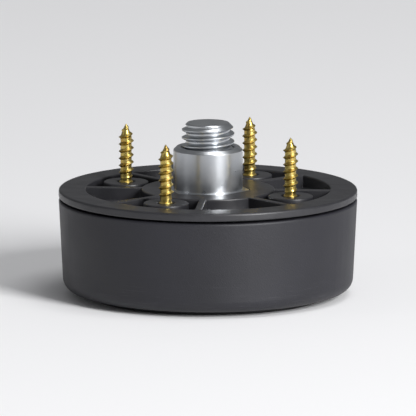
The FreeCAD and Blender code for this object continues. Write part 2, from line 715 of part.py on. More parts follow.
# ---------------------------------------------------------------- check and write
for item in doc.Objects:
    if "Invalid" in item.State or "Error" in item.State:
        raise RuntimeError(f"{item.Label} did not rebuild: {item.State}")
for piece in pieces:
    shape = piece.Shape
    if shape.isNull() or not shape.isValid() or len(shape.Solids) != 1:
        raise RuntimeError(f"{piece.Label} is not one valid solid")

os.makedirs("parts", exist_ok=True)
for piece in pieces:
    piece.Shape.exportStep(f"parts/{piece.Label}.step")
    box = piece.Shape.BoundBox
    print(f"{piece.Label}: {piece.Shape.Volume:.1f} mm3, z {box.ZMin:.2f} to {box.ZMax:.2f}, "
          f"{box.XLength:.2f} x {box.YLength:.2f}")
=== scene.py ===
# %% [markdown]
# # A furniture levelling foot, finished in Blender
#
# The foot is a low round cup that stands under the corner of a cabinet.  The cup is turned by
# hand, and a threaded spindle inside it raises or lowers the cabinet.  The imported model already
# holds every piece at its real size, with sharp edges.  This lesson makes each piece again as a
# surface worked out with numpy, with the rounded edges, threads and finishes of the real one.
# All sizes of pieces are in millimetres, and one factor turns them into Blender's metres.  Only
# the camera and the lights are placed in metres.

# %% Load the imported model
import json
import math

import bmesh
import bpy
import numpy as np
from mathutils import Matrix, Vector


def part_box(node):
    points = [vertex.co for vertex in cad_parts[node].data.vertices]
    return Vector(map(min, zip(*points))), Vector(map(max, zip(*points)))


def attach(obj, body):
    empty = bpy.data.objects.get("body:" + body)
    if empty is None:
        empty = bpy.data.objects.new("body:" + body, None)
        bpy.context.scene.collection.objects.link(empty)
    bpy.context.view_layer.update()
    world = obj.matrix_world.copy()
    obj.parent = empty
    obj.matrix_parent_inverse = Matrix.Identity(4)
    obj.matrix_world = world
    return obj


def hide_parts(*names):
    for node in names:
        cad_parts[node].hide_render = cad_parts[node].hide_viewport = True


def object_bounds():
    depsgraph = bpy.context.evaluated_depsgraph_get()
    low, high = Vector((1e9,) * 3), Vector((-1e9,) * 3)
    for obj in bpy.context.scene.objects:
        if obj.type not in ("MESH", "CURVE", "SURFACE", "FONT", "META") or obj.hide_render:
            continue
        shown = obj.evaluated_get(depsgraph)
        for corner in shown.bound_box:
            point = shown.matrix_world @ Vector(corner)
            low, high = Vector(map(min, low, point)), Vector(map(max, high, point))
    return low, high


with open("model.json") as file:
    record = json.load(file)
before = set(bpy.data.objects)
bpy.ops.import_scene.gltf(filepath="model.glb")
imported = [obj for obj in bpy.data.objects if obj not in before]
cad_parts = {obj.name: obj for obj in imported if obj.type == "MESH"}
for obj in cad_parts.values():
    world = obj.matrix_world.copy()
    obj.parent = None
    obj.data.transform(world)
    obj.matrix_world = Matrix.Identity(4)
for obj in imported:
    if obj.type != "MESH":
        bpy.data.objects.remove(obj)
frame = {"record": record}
cad_low, cad_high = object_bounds()
MM = 0.001
NEAR = 0.01
TAU = 2 * math.pi
print("packed model, mm:", [round(size / MM, 2) for size in cad_high - cad_low])


# %% [markdown]
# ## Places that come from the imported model
#
# Nearly every piece is round about the Z axis, so three numbers place it: its radius, its
# lowest height and its highest.  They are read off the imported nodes, so a changed model moves
# every surface made here.

# %% Read radius and heights off the nodes
def reach(node):
    """Radius, lowest and highest height of a node about the Z axis."""
    low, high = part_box(node)
    return (high.y - low.y) / 2 / MM, low.z / MM, high.z / MM


RIM_RADIUS, CUP_LOW, CUP_RIM = reach("foot_cup")
_, SKIRT_LOW, MOUNT_PLANE = reach("mounting_base")
PLATE_RADIUS, PLATE_LOW, PLATE_TOP = reach("glide_plate")
PAD_RADIUS, PAD_LOW, PAD_TOP = reach("glide_pad")
HUB_RADIUS, _, WASHER_TOP = reach("thrust_washer")
CLIP_RADIUS, CLIP_LOW, CLIP_TOP = reach("glide_clip")
RETAINER_RADIUS, HEAD_TOP, RETAINER_TOP = reach("spindle_retainer")
LOCKING_RADIUS, SLEEVE_LOW, LOCKING_TOP = reach("locking_ring")
SLEEVE_RADIUS, _, SPIGOT_TOP = reach("threaded_sleeve")
_, SPINDLE_LOW, SPINDLE_TOP = reach("levelling_spindle")
_, SCREW_LOW, SCREW_END = reach("mounting_screw_1")
HEAD_HEIGHT = 4.5
HEAD_BOTTOM = HEAD_TOP - HEAD_HEIGHT
print("rim radius", round(RIM_RADIUS, 2), "mm, mount plane at", round(MOUNT_PLANE, 2), "mm")


# %% [markdown]
# ## An outline with round corners
#
# A moulding tool is cut with a round cutter, and a turned part is broken at every edge, so no
# real corner is sharp.  A corner with a small radius also catches a thin line of light, which is
# what makes a dark plastic part readable.  The outline below is a list of corners, each with a
# radius, and every corner becomes an arc.

# %% Outline helper
SHORT_SIDE = 0.9
STEP_BESIDE_ARC = 0.15


def unit(vectors):
    """Each vector divided by its own length."""
    return vectors / np.linalg.norm(vectors, axis=1, keepdims=True)


def rounded(corners, longest=3.0, closed=True, arc_steps=5):
    """Outline of (radius, height) points in which each corner is an arc.

    Each corner is a radius, a height and the size of its arc; a fourth number, where there is
    one, is the longest step on the side after it.  An arc of radius R leaves each side
    R * tan(turn / 2) away from the corner, and its centre is R / cos(turn / 2) away along the
    line that halves the corner.  Points along it are the spherical mean of its first and last
    spoke.  Straight sides get one short step beside each arc, which keeps their shading flat.
    """
    count = len(corners)
    rounding = np.array([corner[2] for corner in corners], float)
    steps = np.array([corner[3] if len(corner) > 3 else longest for corner in corners], float)
    corners = np.array([corner[:2] for corner in corners], float)
    to_last = unit(np.roll(corners, 1, axis=0) - corners)
    to_next = unit(np.roll(corners, -1, axis=0) - corners)
    turn = np.pi - np.arccos(np.clip((to_last * to_next).sum(axis=1), -1, 1))
    back = rounding * np.tan(turn / 2)
    starts = corners + to_last * back[:, None]
    ends = corners + to_next * back[:, None]
    centres = corners + unit(to_last + to_next) * (rounding / np.cos(turn / 2))[:, None]
    share = np.linspace(0, 1, arc_steps + 1)[None, :, None]
    bend = turn[:, None, None]
    first, last = (starts - centres)[:, None], (ends - centres)[:, None]
    spokes = np.sin((1 - share) * bend) * first + np.sin(share * bend) * last
    arcs = centres[:, None] + spokes / np.sin(bend)
    if not closed:
        starts[0] = ends[0] = corners[0]
        starts[-1] = ends[-1] = corners[-1]
    runs = []
    for place in range(count if closed else count - 1):
        run_start, run_end = ends[place], starts[(place + 1) % count]
        length = np.linalg.norm(run_end - run_start)
        parts = max(1, math.ceil(length / steps[place]))
        stops = np.linspace(0, 1, parts + 1)[1:-1]
        if length > SHORT_SIDE:
            beside = STEP_BESIDE_ARC / length
            stops = np.sort(np.concatenate([stops, [beside, 1 - beside]]))
        is_end = not closed and place == 0
        runs.append(corners[:1] if is_end else arcs[place])
        runs.append(run_start + (run_end - run_start) * stops[:, None])
    if not closed:
        runs.append(corners[-1:])
    return np.concatenate(runs)


# %% [markdown]
# ## Turning an outline into a surface
#
# A lathe carries the outline round the Z axis.  Rows of the grid follow the outline and columns
# follow the angle.  Because radius, height and angle may each differ from column to column, the
# same grid also makes hexagons, ribs, slots and threads: only the numbers change, never the faces.

# %% Grid helpers
def even_angles(columns):
    """Evenly spread angles, one for each column."""
    return np.linspace(0, TAU, columns, endpoint=False)


def lathe(radius, height, angles):
    """Grid of points (r cos a, r sin a, z); each input has rows, columns, or both."""
    radius, height, angles = np.broadcast_arrays(radius, height, angles)
    return np.stack([radius * np.cos(angles), radius * np.sin(angles), height], axis=-1)


def grid_faces(rows, columns, closed):
    """Quads between neighbouring points of a grid; columns always join up, rows if closed."""
    bands = np.arange(rows if closed else rows - 1)
    row, column = np.meshgrid(bands * columns, np.arange(columns), indexing="ij")
    below, beside = (row + columns) % (rows * columns), (column + 1) % columns
    quads = [row + column, row + beside, below + beside, below + column]
    return np.stack(quads, axis=-1).reshape(-1, 4)


def merge(mesh, gap, shortest):
    """Join points closer than a gap, drop edges below the shortest, and turn faces outwards."""
    solid = bmesh.new()
    solid.from_mesh(mesh)
    bmesh.ops.remove_doubles(solid, verts=solid.verts, dist=gap)
    bmesh.ops.dissolve_degenerate(solid, edges=solid.edges, dist=shortest)
    if solid.calc_volume(signed=True) < 0:
        bmesh.ops.reverse_faces(solid, faces=solid.faces)
    solid.to_mesh(mesh)
    solid.free()


def closed_mesh(name, grid, closed=True):
    """Mesh of a grid, merged where its points meet, as they do at a pole."""
    mesh = bpy.data.meshes.new(name)
    faces = grid_faces(*grid.shape[:2], closed)
    mesh.from_pydata((grid.reshape(-1, 3) * MM).tolist(), [], faces.tolist())
    merge(mesh, gap=2e-7, shortest=1e-7)
    return mesh


SHARP_ANGLE = math.radians(38)


def link(name, data):
    """A new object in the scene."""
    thing = bpy.data.objects.new(name, data)
    bpy.context.scene.collection.objects.link(thing)
    return thing


def place_piece(name, mesh, node, material):
    """Put a finished mesh in the scene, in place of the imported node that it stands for.

    Its shading is smooth, apart from edges that turn by more than a cutter's round would.
    """
    mesh.shade_smooth()
    mesh.set_sharp_from_angle(angle=SHARP_ANGLE)
    mesh.materials.append(material)
    piece = link(name, mesh)
    even = piece.modifiers.new("even_shading", "WEIGHTED_NORMAL")
    even.keep_sharp = True
    bodies = frame["record"]["behaviour"]["bodies"]
    body = [title for title, nodes in bodies.items() if node in nodes][0]
    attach(piece, body)
    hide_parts(node)
    print(name, len(mesh.polygons), "faces")


# %% [markdown]
# ## Colours and nodes
#
# Colours are written as they would be picked from a screen, and one function turns them into the
# linear values that a shader needs.  One more helper adds a node, sets it and links it, and
# another ends the finish of every piece in the same way: a bump, a shader and the output.

# %% Material helpers
def paint(code):
    """A linear RGBA colour from an sRGB hex value."""
    channels = [int(code[place:place + 2], 16) / 255 for place in (1, 3, 5)]
    linear = [c / 12.92 if c <= 0.04045 else ((c + 0.055) / 1.055) ** 2.4 for c in channels]
    return (*linear, 1.0)


def add(tree, kind, inputs, **settings):
    """Add a shader node with these settings; inputs are values, hex colours or what feeds them.

    An input is fed by a socket, or by a node, which stands for its first live output.
    """
    node = tree.nodes.new("ShaderNode" + kind)
    for name, value in settings.items():
        setattr(node, name, value)
    for name, value in inputs.items():
        if isinstance(value, str):
            value = paint(value)
        if isinstance(value, bpy.types.Node):
            value = next(socket for socket in value.outputs if socket.enabled)
        if isinstance(value, bpy.types.NodeSocket):
            tree.links.new(value, node.inputs[name])
        else:
            node.inputs[name].default_value = value
    return node


def new_material(name):
    """A node material, its empty tree, and the piece's own coordinates in it."""
    material = bpy.data.materials.new(name)
    material.use_nodes = True
    tree = material.node_tree
    tree.nodes.clear()
    return material, tree, add(tree, "TexCoord", {}).outputs["Object"]


COLOURS = {"data_type": "RGBA"}
EASED = {"interpolation_type": "SMOOTHSTEP"}
MOST_OF_NOISE = {"From Min": 0.3, "From Max": 0.7}
METAL = {"Metallic": 1.0}


def finish_material(material, colour, roughness, relief, strength, depth, plain):
    """Bump by a relief this many millimetres deep, one shader with plain inputs, an output.

    The roughness is a node, or a noise and the two values that it wanders between.
    """
    tree = material.node_tree
    if isinstance(roughness, tuple):
        noise, low, high = roughness
        roughness = add(tree, "MapRange", {
            "Value": noise, "To Min": low, "To Max": high, **MOST_OF_NOISE})
    bump = add(tree, "Bump", {"Strength": strength, "Distance": depth * MM, "Height": relief})
    shader = add(tree, "BsdfPrincipled", {
        "Base Color": colour, "Roughness": roughness, "Normal": bump, **plain})
    add(tree, "OutputMaterial", {"Surface": shader})
    return material


def sized(place, millimetres):
    """Inputs of a texture whose pattern repeats about once in this many millimetres."""
    return {"Vector": place, "Scale": 1 / (millimetres * MM)}


# %% [markdown]
# ## Black glass-filled nylon, spark-eroded
#
# The cup is injection moulded from black glass-filled nylon.  Its tool was spark-eroded, which
# leaves a fine even grain that turns a highlight into a soft broad sheen.  A real grain is about
# 0.1 mm across, too fine to show here, so it is drawn about two and a half times as coarse.
# Hands and shoes leave faint scuffs near the floor, and those run round the cup, as it is turned.

# %% Black textured nylon
def spark_eroded_nylon():
    """Satin black with a fine grain, slow patches of gloss and scuffs low down."""
    material, tree, place = new_material("black_spark_eroded_nylon")
    grain = add(tree, "TexNoise", {**sized(place, 0.25), "Detail": 3.0, "Roughness": 0.62})
    patches = add(tree, "TexNoise", {**sized(place, 14), "Detail": 3.0, "Roughness": 0.55})
    around = add(tree, "Mapping", {"Vector": place, "Scale": (1.0, 1.0, 26.0)})
    streaks = add(tree, "TexNoise", {**sized(around, 7), "Detail": 4.0, "Roughness": 0.7})
    streak_share = add(tree, "MapRange", {
        "Value": streaks, "From Min": 0.57, "From Max": 0.74}, **EASED)
    height = add(tree, "SeparateXYZ", {"Vector": place})
    low_down = add(tree, "MapRange", {
        "Value": height.outputs["Z"], "From Min": 9.0 * MM, "From Max": 1.5 * MM,
        "To Min": 0.06, "To Max": 0.8}, **EASED)
    scuff = add(tree, "Math", {0: streak_share, 1: low_down}, operation="MULTIPLY")
    plain = add(tree, "Mix", {"Factor": patches, "A": "#18181c", "B": "#222229"}, **COLOURS)
    colour = add(tree, "Mix", {"Factor": scuff, "A": plain, "B": "#3c3c41"}, **COLOURS)
    gloss = add(tree, "MapRange", {
        "Value": patches, "To Min": 0.44, "To Max": 0.56, **MOST_OF_NOISE})
    rough = add(tree, "Math", {0: scuff, 1: 0.14, 2: gloss}, operation="MULTIPLY_ADD")
    return finish_material(material, colour, rough, grain, 0.75, 0.045, {
        "IOR": 1.52, "Specular IOR Level": 0.4})


BLACK_TEXTURED = spark_eroded_nylon()


# %% [markdown]
# ## Black nylon from a stoned tool
#
# The base and the glide plate are never looked at once the foot is in place, so their tool was
# only stoned, not eroded.  The plastic is a little glossier there, with the faint flow marks that
# glass fibres leave in a flat moulding.

# %% Plain black nylon
def stoned_nylon():
    """Smoother black nylon with faint flow marks."""
    material, tree, place = new_material("black_stoned_nylon")
    flow = add(tree, "TexNoise", {
        **sized(place, 6), "Detail": 5.0, "Roughness": 0.6, "Distortion": 1.2})
    fibres = add(tree, "TexNoise", {**sized(place, 0.5), "Detail": 2.0, "Roughness": 0.5})
    colour = add(tree, "Mix", {"Factor": flow, "A": "#1d1d20", "B": "#29292d"}, **COLOURS)
    return finish_material(
        material, colour, (flow, 0.34, 0.46), fibres, 0.35, 0.02, {"IOR": 1.52})


BLACK_MOULDED = stoned_nylon()


# %% [markdown]
# ## Turned steel, zinc plated
#
# The spindle and the sleeve are turned on a lathe and then plated with bright zinc.  The cutter's
# feed leaves fine rings, so the pattern depends only on the distance from the axis and on the
# height.  Zinc over them is a pale bluish grey with slow cloudy patches.

# %% Zinc-plated steel
def turned_zinc():
    """Pale metal with turning rings and cloudy patches."""
    material, tree, place = new_material("turned_zinc_plated_steel")
    parts = add(tree, "SeparateXYZ", {"Vector": place})
    flat = add(tree, "CombineXYZ", {"X": parts.outputs["X"], "Y": parts.outputs["Y"]})
    away = add(tree, "VectorMath", {0: flat}, operation="LENGTH")
    ring = add(tree, "CombineXYZ", {"X": away, "Z": parts.outputs["Z"]})
    feed = add(tree, "TexNoise", {**sized(ring, 0.16), "Detail": 2.0, "Roughness": 0.6})
    clouds = add(tree, "TexNoise", {**sized(place, 4), "Detail": 3.0, "Roughness": 0.6})
    colour = add(tree, "Mix", {"Factor": clouds, "A": "#a9afb6", "B": "#c9cacb"}, **COLOURS)
    return finish_material(material, colour, (clouds, 0.24, 0.38), feed, 0.4, 0.012, METAL)


ZINC = turned_zinc()


# %% [markdown]
# ## Screws, yellow passivated
#
# Chipboard screws are rolled, plated with zinc and dipped in a yellow passivate.  The film is
# thinner on the thread's edges and pools in the recess, so the colour wanders between straw and
# a greenish gold.

# %% Yellow passivated steel
def yellow_passivated():
    """Straw-coloured metal that wanders in hue and gloss."""
    material, tree, place = new_material("yellow_passivated_steel")
    film = add(tree, "TexNoise", {
        **sized(place, 1.6), "Detail": 4.0, "Roughness": 0.6,
        "Distortion": 0.6})
    colour = add(tree, "ValToRGB", {"Fac": film})
    ramp = colour.color_ramp
    ramp.elements[0].position, ramp.elements[0].color = 0.32, paint("#b08f4c")
    ramp.elements[1].position, ramp.elements[1].color = 0.68, paint("#d9c07c")
    ramp.elements.new(0.5).color = paint("#c3ae62")
    pits = add(tree, "TexNoise", {**sized(place, 0.25), "Detail": 2.0})
    return finish_material(material, colour, (film, 0.26, 0.42), pits, 0.3, 0.012, METAL)


SCREW_STEEL = yellow_passivated()


# %% [markdown]
# ## Stamped spring steel
#
# The clip and the retaining ring are stamped from spring steel, phosphated and oiled.  That is a
# dark brownish grey, dull where the coating is thick and shinier where the strip was rubbed.

# %% Phosphated spring steel
def phosphated_spring():
    """Dark blotchy metal with a low gloss."""
    material, tree, place = new_material("phosphated_spring_steel")
    blotches = add(tree, "TexNoise", {**sized(place, 1.2), "Detail": 5.0, "Roughness": 0.65})
    colour = add(tree, "Mix", {"Factor": blotches, "A": "#2c2a28", "B": "#5a5651"}, **COLOURS)
    return finish_material(material, colour, (blotches, 0.58, 0.36), blotches, 0.3, 0.01, METAL)


SPRING_STEEL = phosphated_spring()


# %% [markdown]
# ## Natural nylon and acetal
#
# The locking ring is uncoloured nylon, a warm milky white, and the thrust washer is uncoloured
# acetal, a colder and slightly waxy white.  Light enters both a little way, so they get a small
# amount of subsurface scattering.  Rubbing polishes both in patches, so their gloss wanders, and
# grey metal dust settles in a few of those patches.

# %% Uncoloured plastics
def natural_plastic(name, shade_low, shade_high, polished):
    """Milky plastic with faint marks, polished patches and a little grey metal dust."""
    material, tree, place = new_material(name)
    marks = add(tree, "TexNoise", {**sized(place, 0.8), "Detail": 3.0, "Roughness": 0.6})
    colour = add(tree, "Mix", {"Factor": marks, "A": shade_low, "B": shade_high}, **COLOURS)
    rubbed = add(tree, "TexNoise", {**sized(place, 3.5), "Detail": 4.0, "Roughness": 0.65})
    dust = add(tree, "MapRange", {
        "Value": rubbed, "From Min": 0.58, "From Max": 0.75, "To Max": 0.45}, **EASED)
    worn = add(tree, "Mix", {"Factor": dust, "A": colour, "B": "#8f8f8c"}, **COLOURS)
    return finish_material(
        material, worn, (rubbed, polished, polished + 0.18), marks, 0.25, 0.01, {
            "IOR": 1.5, "Subsurface Weight": 0.15,
            "Subsurface Radius": (0.8 * MM, 0.7 * MM, 0.6 * MM)})


NATURAL_NYLON = natural_plastic("moulded_natural_nylon", "#d8d0bd", "#ece6d6", 0.36)
NATURAL_ACETAL = natural_plastic("stamped_natural_acetal", "#dfe0dc", "#f0f0ec", 0.24)


# %% [markdown]
# ## Elastomer pad
#
# The pad under the glide is a dark thermoplastic elastomer, dull and slightly tacky.  Dust sticks
# to it, so pale specks sit on a very matte surface.

# %% Elastomer
def dusty_elastomer():
    """Dull charcoal with a soft grain and pale dust."""
    material, tree, place = new_material("moulded_charcoal_elastomer")
    skin = add(tree, "TexNoise", {**sized(place, 0.6), "Detail": 4.0, "Roughness": 0.6})
    dust = add(tree, "TexNoise", {**sized(place, 0.9), "Detail": 5.0, "Roughness": 0.75})
    specks = add(tree, "MapRange", {
        "Value": dust, "From Min": 0.6, "From Max": 0.72, "To Max": 0.5}, **EASED)
    colour = add(tree, "Mix", {"Factor": specks, "A": "#29292b", "B": "#6b6862"}, **COLOURS)
    return finish_material(material, colour, (skin, 0.72, 0.88), skin, 0.5, 0.04, {"IOR": 1.48})


ELASTOMER = dusty_elastomer()


# %% [markdown]
# ## Ribs and slots that keep a straight grid
#
# A rib runs straight out from the hub, but a lathe's columns fan out, so they would cut across
# its sides and leave them jagged.  Beside each rib the columns are therefore drawn parallel to
# it: a line that keeps the distance s from the rib's middle has the angle asin(s / r) at radius
# r.  Between ribs the columns share out what is left.

# %% Columns beside spokes
def rib_section(half_width, depth, rounding):
    """Distances from a rib's middle, and the share of its height there.

    The top edge is a quarter circle, the side leans a little for the mould to let go, and the
    foot is a quarter circle the other way.
    """
    turn = np.linspace(0, np.pi / 2, 4)
    lean = 0.02 * depth
    distance = np.concatenate([
        [0, (half_width - rounding) / 2],
        half_width - rounding + rounding * np.sin(turn),
        half_width + lean + rounding * (1 - np.cos(turn)),
        [half_width + lean + 1.5 * rounding],
    ])
    raised = np.concatenate([
        [depth, depth], depth - rounding * (1 - np.cos(turn)), rounding * (1 - np.sin(turn)), [0]])
    return distance, raised / depth


def spoke_grid(radius, count, first_angle, section, between, outward=0.0):
    """Angles for rows of these radii, and each column's share of a rib's height.

    A column at the distance s from the middle of its rib stands at asin(s / r).  Where the rib is
    a slot cut outwards, r is the radius after the cut, so that the slot's sides stay parallel.
    """
    distance, share = section
    beside = np.concatenate([-distance[:0:-1], distance])
    beside_share = np.concatenate([share[:0:-1], share])
    sector = TAU / count
    moved = radius[:, None] + np.reshape(outward, (-1, 1)) * beside_share
    near = np.arcsin(np.clip(beside / moved, -0.95, 0.95))
    edge = near[:, -1:]
    far = edge + (sector - 2 * edge) * np.linspace(0, 1, between + 1)[1:-1]
    one_sector = np.concatenate([near, far], axis=1)
    angles = first_angle + one_sector[:, None, :] + sector * np.arange(count)[:, None]
    shares = np.concatenate([beside_share, np.zeros(between - 1)])
    return angles.reshape(len(radius), -1), np.tile(shares, count)


def hexagon_radius(angles, across_flats, corner_rounding=0.25):
    """Radius of a hexagon whose flats face 0, 60, ... degrees: half its flats over cos."""
    folded = (angles + np.pi / 6) % (np.pi / 3) - np.pi / 6
    corner = across_flats / 2 / math.cos(np.pi / 6) - corner_rounding
    return np.minimum(across_flats / 2 / np.cos(folded), corner)


# %% [markdown]
# ## The cup
#
# The cup is the only piece that shows once the foot is under a cabinet.  It is a shell with a
# slight taper, so that it leaves its mould, and a broad round at the floor that lets it slide
# without catching.  Inside, eight ribs tie the hub to the floor, and the hub's hexagonal pocket
# turns the spindle.  It is one closed outline, turned once, with ribs and pocket as offsets.

# %% Cup
CUP_DRAFT = math.tan(math.radians(2.9))
CUP_WALL = 2.2
CUP_EDGE_WIDTH = 3.0
CUP_EDGE_ROUND = 2.2
CUP_CEILING = 4.4
CUP_FLOOR = 6.6
HUB_TOP = RETAINER_TOP + 0.7
HEAD_FLATS = 14.0
POCKET_FLATS = HEAD_FLATS + 0.2
COLLAR_BORE = 4.15
WASHER_POCKET = HUB_RADIUS + 0.3
CUP_RIBS = 8
CUP_RIB_WIDTH = 1.6
CUP_RIB_HEIGHT = 4.0
CUP_RIB_END = 22.3
CUP_RIB_SLOPE = 0.7
RIB_ROUND = 0.2
BETWEEN_RIBS = 13


def make_cup():
    """Closed outline of the cup, with ribs raised from its floor and a hexagonal pocket.

    Height = the outline's height + the rib's height * the column's share of the rib, on the floor.
    Radius = the outline's radius + (the hexagon's radius - the pocket's) inside the pocket.
    """
    low_radius = RIM_RADIUS - (CUP_RIM - CUP_LOW) * CUP_DRAFT
    recess = low_radius - CUP_EDGE_WIDTH
    rim_inside = RIM_RADIUS - CUP_WALL
    floor_inside = rim_inside - (CUP_RIM - CUP_FLOOR) * CUP_DRAFT
    pocket = POCKET_FLATS / 2
    outline = rounded([
        (COLLAR_BORE, WASHER_TOP, 0.2),
        (WASHER_POCKET, WASHER_TOP, 0.15),
        (WASHER_POCKET, CUP_CEILING, 0.12),
        (recess, CUP_CEILING, 0.5),
        (recess, CUP_LOW, 0.35),
        (low_radius, CUP_LOW, CUP_EDGE_ROUND, 1.2),
        (RIM_RADIUS, CUP_RIM, 0.4),
        (rim_inside, CUP_RIM, 0.4),
        (floor_inside, CUP_FLOOR, 0.8, 0.7),
        (HUB_RADIUS, CUP_FLOOR, 0.5, 1.2),
        (HUB_RADIUS, HUB_TOP, 0.3),
        (RETAINER_RADIUS, HUB_TOP, 0.2),
        (RETAINER_RADIUS, HEAD_TOP, 0.12),
        (pocket, HEAD_TOP, 0.12),
        (pocket, HEAD_BOTTOM, 0.2),
        (COLLAR_BORE, HEAD_BOTTOM, 0.2),
    ], arc_steps=6)
    radius, height = outline.T
    section = rib_section(CUP_RIB_WIDTH / 2, CUP_RIB_HEIGHT, RIB_ROUND)
    angles, raised = spoke_grid(radius, CUP_RIBS, 0.0, section, BETWEEN_RIBS)
    # Ribs: the floor rises to a rib's top, and the hub's wall is squeezed above it.
    on_floor = (height > CUP_FLOOR - NEAR) & (radius > HUB_RADIUS - NEAR)
    along = np.clip((CUP_RIB_END + CUP_RIB_SLOPE / 2 - radius) / CUP_RIB_SLOPE, 0, 1)
    left = 1 - np.clip((height - CUP_FLOOR) / (HUB_TOP - CUP_FLOOR), 0, 1)
    lift = on_floor * along * left * CUP_RIB_HEIGHT
    height = height[:, None] + lift[:, None] * raised
    # Pocket: full hexagon on its own wall, fading to round at the bore and the ring's seat.
    outside = (RETAINER_RADIUS - radius) / (RETAINER_RADIUS - pocket)
    inside = (radius - COLLAR_BORE) / (pocket - COLLAR_BORE)
    in_pocket = (outline[:, 1] > HEAD_BOTTOM - NEAR) & (outline[:, 1] < HEAD_TOP + NEAR)
    in_pocket &= radius < RETAINER_RADIUS
    fade = in_pocket * np.clip(np.minimum(outside, inside), 0, 1)
    radius = radius[:, None] + fade[:, None] * (hexagon_radius(angles, POCKET_FLATS) - pocket)
    return closed_mesh("cup", lathe(radius, height, angles))


place_piece("cup", make_cup(), "foot_cup", BLACK_TEXTURED)


# %% [markdown]
# ## The mounting base
#
# The base is screwed under the cabinet.  Its flange hides the cup's rim and its skirt slides
# inside the cup, so that no gap opens when the foot is lowered.  A channel is cored out of the
# upper side, because thick plastic sinks as it cools, and ribs cross it.  The screws stand in
# bosses.  A true hole through a grid needs cutting, so the bosses are added and the holes taken
# away with Boolean modifiers, whose result is kept as the final mesh.

# %% Base
BASE_LOW = 16.0
FLANGE_LOW = 18.5
CORING_LOW = 17.5
BOSS_LOW = 14.8
BOSS_RADIUS = HUB_RADIUS + 1.0
ROUND_FROM = BOSS_RADIUS - 0.5
CORING_INSIDE = BOSS_RADIUS + 0.9
SKIRT_OUTSIDE = 24.767
SKIRT_WALL = 1.8
BASE_RIBS = 8
BASE_RIB_WIDTH = 1.4
SLEEVE_FLATS = 14.0
SCREWS = [f"mounting_screw_{number}" for number in (1, 2, 3, 4)]
SCREW_HEAD = 3.0
SCREW_LAND = 0.3
SCREW_HOLE = 1.65
SCREW_BOSS = 4.2
POST_LOW = CORING_LOW - 0.4
POST_BORE = SCREW_HOLE - 0.3
HOLE_MOUTH = SCREW_HOLE + 0.35
HOLE_COLUMNS = 48


def screw_axis(node):
    """Where a screw stands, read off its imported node."""
    low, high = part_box(node)
    return np.array([(low.x + high.x) / 2 / MM, (low.y + high.y) / 2 / MM, 0])


def cut(name, mesh, others, operation):
    """Join other meshes to a mesh, or take them away, with an exact Boolean."""
    body = link(name, mesh)
    helpers = [link(f"{name}_helper", other) for other in others]
    for helper in helpers:
        step = body.modifiers.new("cut", "BOOLEAN")
        step.operation = operation
        step.solver = "EXACT"
        step.object = helper
    seen = bpy.context.evaluated_depsgraph_get()
    result = bpy.data.meshes.new_from_object(body.evaluated_get(seen))
    for item in [body, *helpers]:
        bpy.data.objects.remove(item)
    merge(result, gap=3e-6, shortest=1e-6)
    result.name = name
    return result


def make_base():
    """Closed outline of the base with ribs, then bosses and countersunk holes.

    In the channel, height = the outline's height + what is missing up to the mount plane * the
    column's share of a rib.  Each boss and each drill is an outline of its own, turned about the
    axis of its screw.
    """
    skirt_inside = SKIRT_OUTSIDE - SKIRT_WALL
    hole = SLEEVE_FLATS / 2 + 0.05
    outline = rounded([
        (hole, BOSS_LOW, 0.12),
        (BOSS_RADIUS, BOSS_LOW, 0.3),
        (BOSS_RADIUS, BASE_LOW, 0.3),
        (skirt_inside, BASE_LOW, 0.6),
        (skirt_inside, SKIRT_LOW, 0.35),
        (SKIRT_OUTSIDE, SKIRT_LOW, 0.45),
        (SKIRT_OUTSIDE, FLANGE_LOW, 0.3),
        (RIM_RADIUS, FLANGE_LOW, 0.3),
        (RIM_RADIUS, MOUNT_PLANE, 0.4),
        (skirt_inside, MOUNT_PLANE, 0.25),
        (skirt_inside, CORING_LOW, 0.4),
        (CORING_INSIDE, CORING_LOW, 0.4),
        (CORING_INSIDE, MOUNT_PLANE, 0.25),
        (hole, MOUNT_PLANE, 0.15),
    ])
    radius, height = outline.T
    section = rib_section(BASE_RIB_WIDTH / 2, MOUNT_PLANE - CORING_LOW, RIB_ROUND)
    angles, raised = spoke_grid(radius, BASE_RIBS, TAU / BASE_RIBS / 2, section, BETWEEN_RIBS)
    in_channel = (height > CORING_LOW - NEAR) & (radius > CORING_INSIDE - 0.3)
    in_channel &= radius < skirt_inside + 0.3
    lift = in_channel * (MOUNT_PLANE - height)
    height = height[:, None] + lift[:, None] * raised
    fade = np.clip((ROUND_FROM - radius) / (ROUND_FROM - hole), 0, 1)
    hexagonal = hexagon_radius(angles, 2 * hole, 0.1) - hole
    radius = radius[:, None] + fade[:, None] * hexagonal
    plate = closed_mesh("base", lathe(radius, height, angles))
    turned = even_angles(HOLE_COLUMNS)
    post = rounded([
        (POST_BORE, POST_LOW, 0.05),
        (SCREW_BOSS + 0.1, POST_LOW, 0.05),
        (SCREW_BOSS, MOUNT_PLANE, 0.25),
        (POST_BORE, MOUNT_PLANE, 0.05),
    ])
    drill = rounded([
        (0, BASE_LOW - 1, 0),
        (SCREW_HEAD, BASE_LOW - 1, 0.03),
        (SCREW_HEAD, BASE_LOW + SCREW_LAND, 0.03),
        (SCREW_HOLE, BASE_LOW + SCREW_LAND + SCREW_HEAD - SCREW_HOLE, 0.03),
        (SCREW_HOLE, MOUNT_PLANE - 0.25, 0.03),
        (HOLE_MOUTH, MOUNT_PLANE + 0.1, 0.03),
        (HOLE_MOUTH, MOUNT_PLANE + 1, 0.03),
        (0, MOUNT_PLANE + 1, 0),
    ], closed=False, arc_steps=2)
    posts, drills = [], []
    for node in SCREWS:
        spot = screw_axis(node)
        posts.append(closed_mesh("post", lathe(*post.T[..., None], turned) + spot))
        drills.append(closed_mesh("drill", lathe(*drill.T[..., None], turned) + spot, False))
    joined = cut("base_with_posts", plate, posts, "UNION")
    return cut("base", joined, drills, "DIFFERENCE")


place_piece("base", make_base(), "mounting_base", BLACK_MOULDED)


